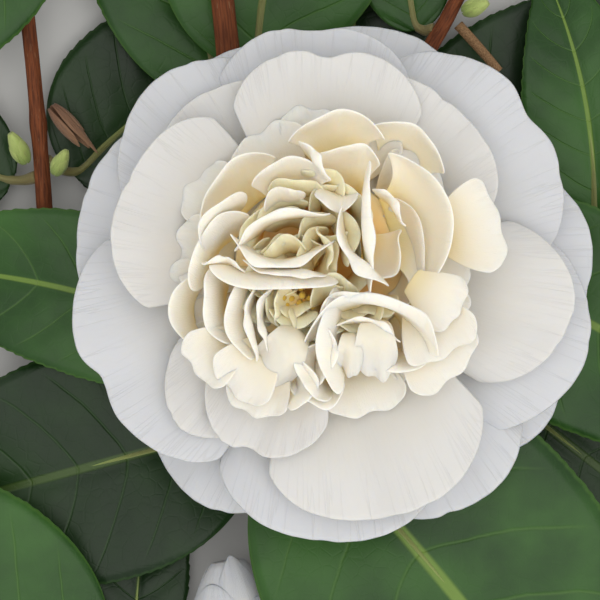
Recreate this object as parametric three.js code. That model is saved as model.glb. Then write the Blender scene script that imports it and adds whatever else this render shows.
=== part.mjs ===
// A cut camellia sprig lying on a level surface: one large white double bloom facing up,
// borne on a short stalk from a woody main stem, with three lighter side twigs, a stub,
// buds, an old husk and glossy ovate leaves on short petioles.
//
// Units are millimetres and +Z is up. Plan positions are measured from the bloom's axis,
// which is upright; the finished group is moved so that its origin lies at the bottom
// centre of its bounding box.

import * as THREE from "three";

// ---------------------------------------------------------------- driving dimensions

const STEM_SIDES = 9; // facets round a stem or twig
const STEM_STEP = 12; // length of one straight run along a stem or twig
const TOUCH_GAP = 0.35; // clearance where one piece grows from another

const LEAF_THICKNESS = 0.5;
const LEAF_FOLD = 0.12; // rise of the margin over the half width
const LEAF_STATIONS = 8; // blade sections between the leaf's base and tip
const LEAF_SPACING = 1.25; // above 1, the sections crowd towards the leaf's base
const BLADE_START = 0.012; // first and last section, as fractions of the blade's length
const BLADE_END = 0.985;
const BLADE_BASE_POWER = 0.5; // how roundly a blade widens from its base
const BLADE_TIP_POWER = 0.8; // how finely a blade draws out to its tip
const PETIOLE_RADIUS = 0.85;
const PETIOLE_STRAIGHT = 0.75; // fraction of the petiole that keeps its round section

const PETAL_THICKNESS = 0.5;
const PETAL_LEVEL_PITCH = 0.85; // one petal lies this far above the next
const PETAL_FOOT_HEIGHT = 23; // height of the lowest petal's foot
const PETAL_FOOT_RADIUS = 5.4; // petals start this far from the axis
const PETAL_DISH_OUTER = 3; // rise of the lowest petal from foot to reference radius
const PETAL_DISH_STEP = 0.35; // each higher petal is dished this much more
const PETAL_REFERENCE_RADIUS = 45;
const PETAL_STATIONS = 6;
const PETAL_SPACING = 0.8; // below 1, the sections crowd towards the petal's tip
const PETAL_END = 0.985; // last section, as a fraction of the petal's length
const PETAL_FOOT_WIDTH = 0.22; // half widths over the greatest: at the foot, and the spread
const PETAL_SPREAD = 0.86;
const PETAL_SPREAD_POWER = 0.8;
const PETAL_TIP_POWER = 5; // how late and how roundly the tip closes
const NOTCH_POWER = 6; // how close to the tip a notch stays

const HEART_RADIUS = 27;
const HEART_RISE = 15;
const HEART_CENTRE = new THREE.Vector2(-0.4, 0.5);
const HEART_SIDES = 20;
const HEART_LOBES = 5;
const HEART_LOBE_DEPTH = 0.03; // fraction of the radius
const HEART_SHOULDER = 2.5; // height of the heart's edge above the petals
const HEART_CLEARANCE = 0.3; // gap between the heart and the petals below it
const HEART_EYE = 0.08; // radius of the flat at the middle, as a fraction

const BUD_SIDES = 10;
const CALYX_SIDES = 16;

// ------------------------------------------------------------------------- materials

const COLOURS = {
  petal: { color: 0xe2e0dc, roughness: 0.55, metalness: 0 },
  heart: { color: 0xe8d9b8, roughness: 0.6, metalness: 0 },
  leaf: { color: 0x2f4f2a, roughness: 0.35, metalness: 0 },
  bark: { color: 0x6b3f28, roughness: 0.75, metalness: 0 },
  deadWood: { color: 0x9a7350, roughness: 0.8, metalness: 0 },
  calyx: { color: 0x7d8a52, roughness: 0.6, metalness: 0 },
  bud: { color: 0x8ea24a, roughness: 0.5, metalness: 0 },
};

function standardMaterial(kind) {
  return new THREE.MeshStandardMaterial(COLOURS[kind]);
}

// ------------------------------------------------------------------- general geometry

const UP = new THREE.Vector3(0, 0, 1);

function point(x, y, z) {
  return new THREE.Vector3(x, y, z);
}

/** A closed solid through rings of equal point count, with a flat cap on each end. */
function loft(rings) {
  const around = rings[0].length;
  const positions = rings.flatMap((ring) => ring.flatMap((p) => [p.x, p.y, p.z]));
  const index = [];
  for (let r = 0; r < rings.length - 1; r += 1) {
    for (let k = 0; k < around; k += 1) {
      const next = (k + 1) % around;
      const a = r * around + k;
      const b = r * around + next;
      index.push(a, b, a + around, b, b + around, a + around);
    }
  }
  const last = (rings.length - 1) * around;
  for (let k = 1; k < around - 1; k += 1) {
    index.push(0, k + 1, k);
    index.push(last, last + k, last + k + 1);
  }
  const geometry = new THREE.BufferGeometry();
  geometry.setAttribute("position", new THREE.Float32BufferAttribute(positions, 3));
  geometry.setIndex(index);
  geometry.computeVertexNormals();
  return geometry;
}

/** Two unit vectors square to a direction: level to its left, and upward. */
function crossAxes(direction) {
  const left = new THREE.Vector3().crossVectors(UP, direction);
  if (left.lengthSq() < 1e-6) left.set(1, 0, 0);
  left.normalize();
  const above = new THREE.Vector3().crossVectors(direction, left).normalize();
  return { left, above };
}

/** A circular ring, counter-clockwise when seen from the side that direction points to. */
function circle(centre, direction, radius, sides) {
  const { left, above } = crossAxes(direction);
  return Array.from({ length: sides }, (_, k) => {
    const turn = (2 * Math.PI * k) / sides;
    return centre
      .clone()
      .addScaledVector(left, radius * Math.cos(turn))
      .addScaledVector(above, radius * Math.sin(turn));
  });
}

function mesh(name, geometry, kind) {
  const part = new THREE.Mesh(geometry, standardMaterial(kind));
  part.name = name;
  return part;
}

// ----------------------------------------------------------------- stems and twigs

/** A woody axis: a smooth curve with a radius that tapers evenly from foot to tip. */
class Axis {
  constructor(points, footRadius, tipRadius) {
    this.curve = new THREE.CatmullRomCurve3(points.map((p) => point(...p)), false, "centripetal");
    this.footRadius = footRadius;
    this.tipRadius = tipRadius;
  }

  radiusAt(t) {
    return THREE.MathUtils.lerp(this.footRadius, this.tipRadius, t);
  }

  centreAt(t) {
    return this.curve.getPointAt(t);
  }

  /** Where a stalk of some radius, bound for a target, can start clear of the bark. */
  stalkStart(t, target, stalkRadius) {
    const centre = this.centreAt(t);
    const tangent = this.curve.getTangentAt(t);
    const direction = target.clone().sub(centre).normalize();
    const slant = direction.dot(tangent);
    const outward = direction.clone().addScaledVector(tangent, -slant).normalize();
    const clearance = TOUCH_GAP + stalkRadius * Math.abs(slant);
    return centre.addScaledVector(outward, this.radiusAt(t) + clearance);
  }

  geometry() {
    const steps = Math.max(2, Math.round(this.curve.getLength() / STEM_STEP));
    const rings = [];
    for (let i = 0; i <= steps; i += 1) {
      const t = i / steps;
      rings.push(circle(this.centreAt(t), this.curve.getTangentAt(t), this.radiusAt(t), STEM_SIDES));
    }
    return loft(rings);
  }
}

const AXES = {
  main_stem: new Axis(
    [
      [7, -116, 3.5], [4, -90, 4], [-2, -60, 4.5], [-7.6, -30, 5.5], [-12, 0, 8.5],
      [-16.3, 36, 13.5], [-17.6, 48, 15.2], [-20, 70, 17], [-23, 88, 17],
    ],
    3.4,
    1.7,
  ),
  left_twig_foot: new Axis([[0, -98, 4.2], [-20, -89, 4.5], [-40, -77, 4]], 2.1, 1.85),
  left_twig: new Axis(
    [[-43.2, -73.2, 3.6], [-47.5, -30, 3.4], [-49.5, 9.6, 6.4], [-52.3, 43.6, 10], [-55, 66, 11]],
    1.8,
    1.2,
  ),
  right_twig: new Axis(
    [[-4.2, -14, 7.2], [3, 6, 7.5], [12, 25, 9], [19, 38.2, 10.5], [23.5, 46.2, 11], [35, 70, 10]],
    1.8,
    1.1,
  ),
  low_right_twig: new Axis(
    [[-3.4, -27, 5.6], [10, -20, 4], [28, -8, 3], [44, 0, 3]],
    1.6,
    1.1,
  ),
  dead_stub: new Axis([[24.4, 43, 11], [28, 39, 10.8], [31.7, 34.7, 10.4]], 0.95, 0.8),
  flower_stalk: new Axis(
    [[-8.2, -1.5, 8.6], [-3.4, -0.8, 9.2], [-0.5, 0, 11.2], [0, 0, 13.6]],
    1.7,
    2.1,
  ),
};

function stems() {
  return Object.entries(AXES).map(([name, axis]) =>
    mesh(name, axis.geometry(), name === "dead_stub" ? "deadWood" : "bark"),
  );
}

// --------------------------------------------------------------------------- leaves

/**
 * One leaf: where its petiole leaves its twig, its blade's base in plan, its heading in
 * degrees anticlockwise from +X, the blade's length and width, the heights of the midrib
 * at its base, middle and tip, and how far the midrib bows to its left.
 */
const LEAVES = {
  leaf_top_left: { twig: "main_stem", at: 0.68, base: [-18.6, 30], heading: 106, length: 80, width: 38,
    heights: [6.6, 4.8, 0.4], bow: -3 },
  leaf_top_right: { twig: "main_stem", at: 0.7, base: [-11.8, 35], heading: 72, length: 80, width: 44,
    heights: [9.4, 9.6, 0.4], bow: 5 },
  leaf_left: { twig: "main_stem", at: 0.5, base: [-14, -15.5], heading: 167, length: 68, width: 29,
    heights: [11, 12.5, 0.4], bow: -4 },
  leaf_lower_right: { twig: "main_stem", at: 0.51, base: [-5, -26.4], heading: -52, length: 105,
    width: 60, heights: [14.8, 17.8, 0.4], bow: 3 },
  leaf_bottom_left: { twig: "left_twig_foot", at: 0.86, base: [-40, -75], heading: 155, length: 82,
    width: 50, heights: [9, 14, 0.4], bow: 0 },
  leaf_right: { twig: "low_right_twig", at: 0.42, base: [18, 4], heading: -29, length: 80, width: 38,
    heights: [9, 13, 0.4], bow: 2 },
  leaf_lower_left: { twig: "main_stem", at: 0.4, base: [-12, -28], heading: 195, length: 74, width: 42,
    heights: [7.2, 8.6, 0.4], bow: 0 },
  leaf_bottom: { twig: "left_twig_foot", at: 0.68, base: [-34.4, -73.8], heading: 85, length: 44, width: 18,
    heights: [4.6, 3, 0.4], bow: 0 },
  leaf_right_low: { twig: "low_right_twig", at: 0.6, base: [24, -16], heading: -38, length: 68,
    width: 38, heights: [3.6, 4.6, 0.4], bow: 0 },
  leaf_upper_right: { twig: "low_right_twig", at: 0.97, base: [48.6, 4], heading: 100, length: 50,
    width: 24, heights: [6.5, 9.5, 5], bow: -3 },
  leaf_right_back: { twig: "right_twig", at: 0.42, base: [15, 15], heading: 33, length: 62, width: 34,
    heights: [3.4, 3, 0.4], bow: 0 },
  leaf_top_back: { twig: "right_twig", at: 0.5, base: [4, 26], heading: 84, length: 60, width: 28,
    heights: [4.4, 4, 0.4], bow: 0 },
  leaf_top_small: { twig: "right_twig", at: 0.66, base: [17, 42], heading: 96, length: 40, width: 18,
    heights: [9, 9.4, 5.6], bow: 1 },
  leaf_upper_left: { twig: "left_twig", at: 0.66, base: [-44.5, 16], heading: 37, length: 48,
    width: 34, heights: [3.4, 2.6, 0.4], bow: 2 },
  leaf_corner: { twig: "left_twig", at: 0.97, base: [-49, 69], heading: 214, length: 66, width: 36,
    heights: [12, 13.5, 0.4], bow: 3 },
  leaf_far_left: { twig: "left_twig", at: 0.64, base: [-55.5, 15], heading: 156, length: 50,
    width: 26, heights: [4.4, 5, 0.4], bow: 0 },
  leaf_left_tip: { twig: "left_twig", at: 0.99, base: [-57, 72], heading: 112, length: 60, width: 30,
    heights: [7, 8, 0.4], bow: 2 },
  leaf_stem_tip_left: { twig: "main_stem", at: 0.99, base: [-30, 92], heading: 130, length: 52,
    width: 28, heights: [15, 14, 0.4], bow: 2 },
  leaf_stem_tip_right: { twig: "main_stem", at: 0.97, base: [-16.5, 95], heading: 66, length: 54,
    width: 29, heights: [15.5, 16, 0.4], bow: -2 },
  leaf_twig_tip_left: { twig: "right_twig", at: 0.97, base: [35, 76], heading: 88, length: 56,
    width: 27, heights: [9.5, 9.5, 1], bow: 2 },
  leaf_twig_tip_right: { twig: "right_twig", at: 0.93, base: [39.5, 68], heading: 24, length: 56,
    width: 29, heights: [8.4, 9.5, 0.4], bow: -2 },
};

/** Half width of a blade over its greatest half width: rounded base, drawn-out tip. */
function bladeProfile(s) {
  const shape = (t) => t ** BLADE_BASE_POWER * (1 - t) ** BLADE_TIP_POWER;
  const widest = BLADE_BASE_POWER / (BLADE_BASE_POWER + BLADE_TIP_POWER);
  return shape(s) / shape(widest);
}

/** A flattened ring: up one side, over the midrib, down the other and back below. */
function bladeRing(centre, direction, halfWidth, halfThickness, fold) {
  const { left, above } = crossAxes(direction);
  const across = [-1, -0.5, 0, 0.5, 1];
  const place = (u, side) =>
    centre
      .clone()
      .addScaledVector(left, u * halfWidth)
      .addScaledVector(above, Math.abs(u) * halfWidth * fold + side * halfThickness);
  const top = across.toReversed().map((u) => place(u, 1));
  const under = [-1, 0, 1].map((u) => place(u, -1));
  return [...top, ...under];
}

function leafCurve({ base, heading, length, heights, bow }) {
  const angle = THREE.MathUtils.degToRad(heading);
  const along = point(Math.cos(angle), Math.sin(angle), 0);
  const left = new THREE.Vector3().crossVectors(UP, along);
  const [baseHeight, middleHeight, tipHeight] = heights;
  const foot = point(base[0], base[1], baseHeight);
  const tip = foot.clone().addScaledVector(along, length).setZ(tipHeight);
  const control = foot.clone().lerp(tip, 0.5).addScaledVector(left, 2 * bow);
  control.z = 2 * middleHeight - (baseHeight + tipHeight) / 2;
  return new THREE.QuadraticBezierCurve3(foot, control, tip);
}

function leafGeometry(leaf) {
  const curve = leafCurve(leaf);
  const foot = curve.getPoint(0);
  const start = AXES[leaf.twig].stalkStart(leaf.at, foot, PETIOLE_RADIUS);
  const stalk = foot.clone().sub(start);
  const rings = [0, PETIOLE_STRAIGHT].map((t) =>
    bladeRing(start.clone().addScaledVector(stalk, t), stalk, PETIOLE_RADIUS, PETIOLE_RADIUS, 0),
  );
  for (let i = 0; i <= LEAF_STATIONS; i += 1) {
    const s = THREE.MathUtils.lerp(BLADE_START, BLADE_END, (i / LEAF_STATIONS) ** LEAF_SPACING);
    const halfWidth = (leaf.width / 2) * bladeProfile(s);
    const tangent = curve.getTangent(s);
    rings.push(bladeRing(curve.getPoint(s), tangent, halfWidth, LEAF_THICKNESS / 2, LEAF_FOLD));
  }
  return loft(rings);
}

function leaves() {
  return Object.entries(LEAVES).map(([name, leaf]) => mesh(name, leafGeometry(leaf), "leaf"));
}

// --------------------------------------------------------------------------- petals

/** Height of the petal surface of a level at a distance from the bloom's axis. */
function petalHeight(level, radius) {
  const dish = PETAL_DISH_OUTER + PETAL_DISH_STEP * level;
  return PETAL_FOOT_HEIGHT + PETAL_LEVEL_PITCH * level + dish * (radius / PETAL_REFERENCE_RADIUS) ** 2;
}

/**
 * The bloom's petals from the lowest to the highest: bearing in degrees anticlockwise
 * from +X, reach from the axis, width and the depth of the notch in the tip.
 */
const GUARD_PETALS = [
  { bearing: -36, reach: 48.4, width: 30, notch: 0 },
  { bearing: 72, reach: 43.6, width: 34, notch: 0 },
  { bearing: 243, reach: 46.8, width: 32, notch: 0 },
  { bearing: 0, reach: 47.6, width: 36, notch: 0 },
  { bearing: 112, reach: 41, width: 32, notch: 0 },
  { bearing: -57, reach: 49.8, width: 34, notch: 0 },
  { bearing: 168, reach: 43.6, width: 38, notch: 0 },
  { bearing: -20, reach: 48.6, width: 36, notch: 0 },
  { bearing: 36, reach: 46, width: 42, notch: 2 },
  { bearing: 134, reach: 43, width: 34, notch: 0 },
  { bearing: -86, reach: 48.4, width: 40, notch: 0 },
  { bearing: 93, reach: 42, width: 34, notch: 1 },
  { bearing: 208, reach: 45, width: 42, notch: 2 },
];

const INNER_PETALS = [
  { bearing: -12, reach: 44.2, width: 28, notch: 0 },
  { bearing: 130, reach: 36, width: 32, notch: 0 },
  { bearing: -73, reach: 45.4, width: 38, notch: 0 },
  { bearing: 50, reach: 36, width: 32, notch: 0 },
  { bearing: 229, reach: 37, width: 20, notch: 0 },
  { bearing: 88, reach: 37.6, width: 32, notch: 1.5 },
  { bearing: 160, reach: 36.8, width: 34, notch: 0 },
  { bearing: -112, reach: 35.4, width: 22, notch: 1.5 },
];

/** Half width of a petal over its greatest half width: narrow foot, broad round tip. */
function petalProfile(s) {
  return (PETAL_FOOT_WIDTH + PETAL_SPREAD * s ** PETAL_SPREAD_POWER) * Math.sqrt(1 - s ** PETAL_TIP_POWER);
}

function petalRing(petal, level, s) {
  const bearing = THREE.MathUtils.degToRad(petal.bearing);
  const outward = point(Math.cos(bearing), Math.sin(bearing), 0);
  const left = new THREE.Vector3().crossVectors(UP, outward);
  const place = (u, side) => {
    const notch = petal.notch * s ** NOTCH_POWER * (1 - Math.abs(u)) ** 2;
    const along = THREE.MathUtils.lerp(PETAL_FOOT_RADIUS, petal.reach, s) - notch;
    const aside = (u * petal.width * petalProfile(s)) / 2;
    const p = point(0, 0, 0).addScaledVector(outward, along).addScaledVector(left, aside);
    return p.setZ(petalHeight(level, Math.hypot(along, aside)) + (side * PETAL_THICKNESS) / 2);
  };
  const across = [-1, -0.5, 0, 0.5, 1];
  return [...across.toReversed().map((u) => place(u, 1)), ...across.map((u) => place(u, -1))];
}

function petalGeometry(petal, level) {
  const rings = [];
  for (let i = 0; i <= PETAL_STATIONS; i += 1) {
    rings.push(petalRing(petal, level, PETAL_END * (i / PETAL_STATIONS) ** PETAL_SPACING));
  }
  return loft(rings);
}

function petals() {
  const guard = GUARD_PETALS.map((petal, i) =>
    mesh(`guard_petal_${String(i + 1).padStart(2, "0")}`, petalGeometry(petal, i), "petal"),
  );
  const inner = INNER_PETALS.map((petal, i) =>
    mesh(`inner_petal_${i + 1}`, petalGeometry(petal, GUARD_PETALS.length + i), "petal"),
  );
  return [...guard, ...inner];
}

// ---------------------------------------------------------- heart, calyx and buds

/** The crowded petaloids at the middle of the bloom, as one gently lobed dome. */
function heart() {
  const level = GUARD_PETALS.length + INNER_PETALS.length + 0.2;
  const ring = (radius, height) =>
    Array.from({ length: HEART_SIDES }, (_, k) => {
      const turn = (2 * Math.PI * k) / HEART_SIDES;
      const lobed = radius * (1 + HEART_LOBE_DEPTH * Math.sin(HEART_LOBES * turn));
      const x = HEART_CENTRE.x + lobed * Math.cos(turn);
      const y = HEART_CENTRE.y + lobed * Math.sin(turn);
      return point(x, y, height);
    });
  const under = [HEART_EYE, 0.5, 0.94].map((f) => {
    const radius = f * HEART_RADIUS;
    return ring(radius, petalHeight(level, radius * (1 + HEART_LOBE_DEPTH)) + HEART_CLEARANCE);
  });
  const rim = petalHeight(level, HEART_RADIUS);
  const top = [1, 0.93, 0.72, 0.42, HEART_EYE].map((f) =>
    ring(f * HEART_RADIUS, rim + HEART_SHOULDER + HEART_RISE * Math.sqrt(1 - f * f)),
  );
  return mesh("petaloid_heart", loft([...under, ...top]), "heart");
}

/** The cup of bud scales below the petals and the short core that carries them. */
function calyx() {
  const topLevel = GUARD_PETALS.length + INNER_PETALS.length;
  const coreTop = PETAL_FOOT_HEIGHT + PETAL_LEVEL_PITCH * topLevel - 0.6;
  const profile = [
    [0, 14.2], [3, 14.4], [6.4, 17], [8, 21.2], [6.4, 22], [4.4, 21.6], [4.2, coreTop], [0, coreTop],
  ].map(([radius, height]) => new THREE.Vector2(radius, height));
  const geometry = new THREE.LatheGeometry(profile, CALYX_SIDES);
  geometry.rotateX(Math.PI / 2);
  return mesh("calyx", geometry, "calyx");
}

/** A pointed egg from its foot along a heading and a climb, both in degrees. */
function eggGeometry({ foot, heading, climb, length, width }) {
  const turn = THREE.MathUtils.degToRad(heading);
  const rise = THREE.MathUtils.degToRad(climb);
  const along = point(
    Math.cos(turn) * Math.cos(rise), Math.sin(turn) * Math.cos(rise), Math.sin(rise),
  );
  const shape = [[0, 0.3], [0.12, 0.72], [0.35, 1], [0.6, 0.9], [0.84, 0.5], [1, 0.08]];
  const rings = shape.map(([t, f]) =>
    circle(point(...foot).addScaledVector(along, t * length), along, (f * width) / 2, BUD_SIDES),
  );
  return loft(rings);
}

const BUDS = {
  opening_bud: { foot: [-13.5, -75, 10.2], heading: 98, climb: 2, length: 24, width: 19.6,
    kind: "petal" },
  green_bud_left: { foot: [-52.7, 18.5, 8.6], heading: 118, climb: 30, length: 7, width: 3.4,
    kind: "bud" },
  green_bud_twig: { foot: [-47.6, 16.4, 9.2], heading: 62, climb: 35, length: 6, width: 3,
    kind: "bud" },
  green_bud_fork: { foot: [25.2, 45.2, 12], heading: 20, climb: 25, length: 5.5, width: 3.2,
    kind: "bud" },
  stem_tip_bud: { foot: [-23.2, 90.2, 17.1], heading: 100, climb: 8, length: 9, width: 4.2,
    kind: "bud" },
  old_husk: { foot: [-48.4, 28.6, 8.6], heading: -48, climb: -8, length: 12, width: 3.6,
    kind: "deadWood" },
};

function buds() {
  return Object.entries(BUDS).map(([name, bud]) => mesh(name, eggGeometry(bud), bud.kind));
}

// -------------------------------------------------------------------------- assembly

const sprig = new THREE.Group();
sprig.add(...stems(), ...leaves(), ...petals(), heart(), calyx(), ...buds());

const extent = new THREE.Box3().setFromObject(sprig, true);
const middle = extent.getCenter(new THREE.Vector3());
sprig.position.set(-middle.x, -middle.y, -extent.min.z);

const object = new THREE.Group();
object.add(sprig);

export default object;
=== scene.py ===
"""A cut camellia sprig in bloom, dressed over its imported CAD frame.

Plan places are in millimetres from the bloom's upright axis, as in the part's source, and
heights are in millimetres above the level that the sprig lies on. The bloom's axis comes
from the frame: it is the middle of the calyx.
"""

import logging
import math
import random
from collections.abc import Callable
from dataclasses import dataclass, field
from enum import Enum

import bmesh
import bpy
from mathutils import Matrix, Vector


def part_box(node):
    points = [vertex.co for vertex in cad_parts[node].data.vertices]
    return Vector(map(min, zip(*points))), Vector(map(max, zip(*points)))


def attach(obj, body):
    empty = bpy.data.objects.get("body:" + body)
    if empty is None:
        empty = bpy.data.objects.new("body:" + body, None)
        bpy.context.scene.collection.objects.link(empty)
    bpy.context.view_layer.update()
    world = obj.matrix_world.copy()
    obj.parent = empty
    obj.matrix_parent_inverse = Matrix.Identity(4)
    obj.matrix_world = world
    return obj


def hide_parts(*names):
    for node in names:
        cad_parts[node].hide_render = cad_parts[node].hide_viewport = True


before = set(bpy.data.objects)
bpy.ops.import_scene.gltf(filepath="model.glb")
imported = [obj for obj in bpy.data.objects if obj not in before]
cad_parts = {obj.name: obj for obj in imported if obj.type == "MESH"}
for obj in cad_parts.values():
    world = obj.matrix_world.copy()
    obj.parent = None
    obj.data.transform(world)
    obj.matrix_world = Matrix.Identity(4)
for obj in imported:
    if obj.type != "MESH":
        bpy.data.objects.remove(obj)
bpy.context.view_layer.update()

logging.basicConfig(level=logging.INFO, format="%(message)s")
LOG = logging.getLogger("sprig")

MM = 0.001
UP = Vector((0, 0, 1))
CALYX_FOOT = 14.2

Place = Callable[[float, float], Vector]
Triple = tuple[float, float, float]
Colour = Triple

GOLDEN_ANGLE = 137.5
PHASES = (0.0, 6.28)
ROUTE_PARTS = 16
SEAM = 0.00001
ROUND_SHARE = 0.985
BUMP_STRENGTH = 0.6
VEIN_PAIRS = 8.0
VEIN_LEAN = 0.17
VEIN_BOW = 1.3


# ------------------------------------------------------------------------- shader maths


class Value:
    """A shader socket that takes part in Python arithmetic."""

    def __init__(self, shader: "Shader", socket: bpy.types.NodeSocket) -> None:
        """Wraps an output socket of a shader's tree."""
        self.shader = shader
        self.socket = socket

    def __add__(self, other: "Value | float") -> "Value":
        """Adds."""
        return self.shader.maths("ADD", self, other)

    __radd__ = __add__

    def __sub__(self, other: "Value | float") -> "Value":
        """Subtracts another from this."""
        return self.shader.maths("SUBTRACT", self, other)

    def __rsub__(self, other: float) -> "Value":
        """Subtracts this from a number."""
        return self.shader.maths("SUBTRACT", other, self)

    def __mul__(self, other: "Value | float") -> "Value":
        """Multiplies."""
        return self.shader.maths("MULTIPLY", self, other)

    __rmul__ = __mul__

    def __pow__(self, other: float) -> "Value":
        """Raises to a power."""
        return self.shader.maths("POWER", self, other)

    def __abs__(self) -> "Value":
        """Drops the sign."""
        return self.shader.maths("ABSOLUTE", self, 0.0)


class Shader:
    """A material whose tree is built by expressions, round one principled shader."""

    def __init__(self, name: str) -> None:
        """Makes an empty material with a principled shader joined to its output."""
        self.material = bpy.data.materials.new(name)
        self.material.use_nodes = True
        self.tree = self.material.node_tree
        self.tree.nodes.clear()
        self.surface = self.tree.nodes.new("ShaderNodeBsdfPrincipled")
        output = self.tree.nodes.new("ShaderNodeOutputMaterial")
        self.tree.links.new(self.surface.outputs["BSDF"], output.inputs["Surface"])

    def feed(self, socket: bpy.types.NodeSocket, value: object) -> None:
        """Links a value to a socket, or sets the socket's own number or colour."""
        if isinstance(value, Value):
            self.tree.links.new(value.socket, socket)
        else:
            socket.default_value = value

    def node(self, kind: str, settings: dict, inputs: dict, output: int | str = 0) -> Value:
        """Adds any node.

        Args:
            kind: The node's type.
            settings: Its own settings; "stops" fills a colour ramp.
            inputs: The values or links of its sockets, by name or index.
            output: The output to return.

        Returns:
            The chosen output.
        """
        made = self.tree.nodes.new(kind)
        for key, setting in settings.items():
            if key == "stops":
                self._fill_ramp(made.color_ramp, setting)
            else:
                setattr(made, key, setting)
        for key, value in inputs.items():
            self.feed(made.inputs[key], value)
        return Value(self, made.outputs[output])

    @staticmethod
    def _fill_ramp(ramp: bpy.types.ColorRamp, stops: list[tuple[float, Colour]]) -> None:
        """Sets a ramp's stops from places and colours."""
        while len(ramp.elements) < len(stops):
            ramp.elements.new(1.0)
        for element, (place, colour) in zip(ramp.elements, stops):
            element.position = place
            element.color = (*colour, 1)

    def maths(self, operation: str, first: Value | float, second: Value | float) -> Value:
        """Adds a Math node and returns its result."""
        return self.node("ShaderNodeMath", {"operation": operation}, {0: first, 1: second})

    def position(self) -> Value:
        """Returns the place on the object."""
        return self.node("ShaderNodeTexCoord", {}, {}, "Object")

    def across_along(self) -> tuple[Value, Value]:
        """Returns the piece's own two surface coordinates."""
        chart = self.node("ShaderNodeTexCoord", {}, {}, "UV")
        split = self.node("ShaderNodeSeparateXYZ", {}, {0: chart}, "X")
        return split, Value(self, split.socket.node.outputs["Y"])

    def vector(self, x: Value | float, y: Value | float, z: Value | float = 0.0) -> Value:
        """Joins three values to a vector."""
        return self.node("ShaderNodeCombineXYZ", {}, {0: x, 1: y, 2: z})

    def noise(self, where: Value, scale: float, detail: float = 3.0) -> Value:
        """Returns a cloudy pattern from 0 to 1."""
        return self.node("ShaderNodeTexNoise", {}, {"Vector": where, "Scale": scale, "Detail": detail})

    def cells(self, where: Value, scale: float) -> Value:
        """Returns the distance to the edges of a net of cells."""
        settings = {"feature": "DISTANCE_TO_EDGE"}
        return self.node("ShaderNodeTexVoronoi", settings, {"Vector": where, "Scale": scale})

    def step(self, value: Value, low: float, high: float) -> Value:
        """Returns a smooth step from 0 at low to 1 at high, which may run backwards."""
        start, end = (0.0, 1.0) if low < high else (1.0, 0.0)
        limits = {1: min(low, high), 2: max(low, high), 3: start, 4: end}
        return self.node("ShaderNodeMapRange", {"interpolation_type": "SMOOTHSTEP"}, {0: value, **limits})

    def ramp(self, value: Value, stops: list[tuple[float, Colour]]) -> Value:
        """Returns a colour from a ramp."""
        return self.node("ShaderNodeValToRGB", {"stops": stops}, {0: value})

    def mix(self, factor: Value | float, first: Value | Colour, second: Value | Colour) -> Value:
        """Returns a mix of two colours."""
        pair = [c if isinstance(c, Value) else (*c, 1) for c in (first, second)]
        inputs = {0: factor, 6: pair[0], 7: pair[1]}
        return self.node("ShaderNodeMix", {"data_type": "RGBA"}, inputs, 2)

    def finish(self, colour: Value, roughness: Value | float, height: Value, depth: float,
               **fixed: object) -> bpy.types.Material:
        """Joins the looks to the shader.

        Args:
            colour: The base colour.
            roughness: The roughness.
            height: The relief, from 0 to 1.
            depth: How deep the relief is, in metres.
            fixed: Numbers for the shader's own sockets, with _ for each space.

        Returns:
            The finished material.
        """
        relief = {"Strength": BUMP_STRENGTH, "Distance": depth, "Height": height}
        bump = self.node("ShaderNodeBump", {}, relief)
        self.feed(self.surface.inputs["Base Color"], colour)
        self.feed(self.surface.inputs["Roughness"], roughness)
        self.feed(self.surface.inputs["Normal"], bump)
        for key, number in fixed.items():
            self.surface.inputs[key.replace("_", " ")].default_value = number
        return self.material


# ----------------------------------------------------------------------------- finishes


@dataclass(frozen=True)
class PetalFinish:
    """Thin white petal: warm at its foot, with fine veins that show towards the margin."""

    name: str
    foot: Colour = (0.72, 0.63, 0.45)
    middle: Colour = (0.62, 0.615, 0.59)
    margin: Colour = (0.58, 0.59, 0.615)
    vein: Colour = (0.43, 0.435, 0.445)
    vein_strength: float = 0.3
    translucence: float = 0.5
    scatter: Triple = (0.0008, 0.00065, 0.00045)
    cloud_scale: float = 90.0
    fan_veins: float = 30.0
    crinkles: float = 70.0
    veins_from: float = 0.66
    depth: float = 0.00022

    def build(self) -> bpy.types.Material:
        """Builds the material."""
        s = Shader(self.name)
        across, along = s.across_along()
        cloud = s.noise(s.position(), self.cloud_scale)
        stops = [(0.0, self.foot), (0.42, self.middle), (0.86, self.margin)]
        base = s.ramp(along + (cloud - 0.5) * 0.12, stops)
        fan = s.noise(s.vector(across * self.fan_veins, along * 1.6), 1.0, 1.5)
        lines = s.step(abs(fan - 0.5), 0.03, 0.0)
        near_margin = s.step(along, self.veins_from, 1.0)
        colour = s.mix(lines * near_margin * self.vein_strength, base, self.vein)
        crinkle = s.noise(s.vector(across * self.crinkles, along * 9.0), 1.0, 3.0)
        relief = crinkle * 0.4 + lines * near_margin * -0.3
        return s.finish(
            colour, 0.62 - cloud * 0.12, relief, self.depth, Specular_IOR_Level=0.25,
            Subsurface_Weight=self.translucence, Subsurface_Radius=self.scatter, Subsurface_Scale=1.0,
        )


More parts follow.
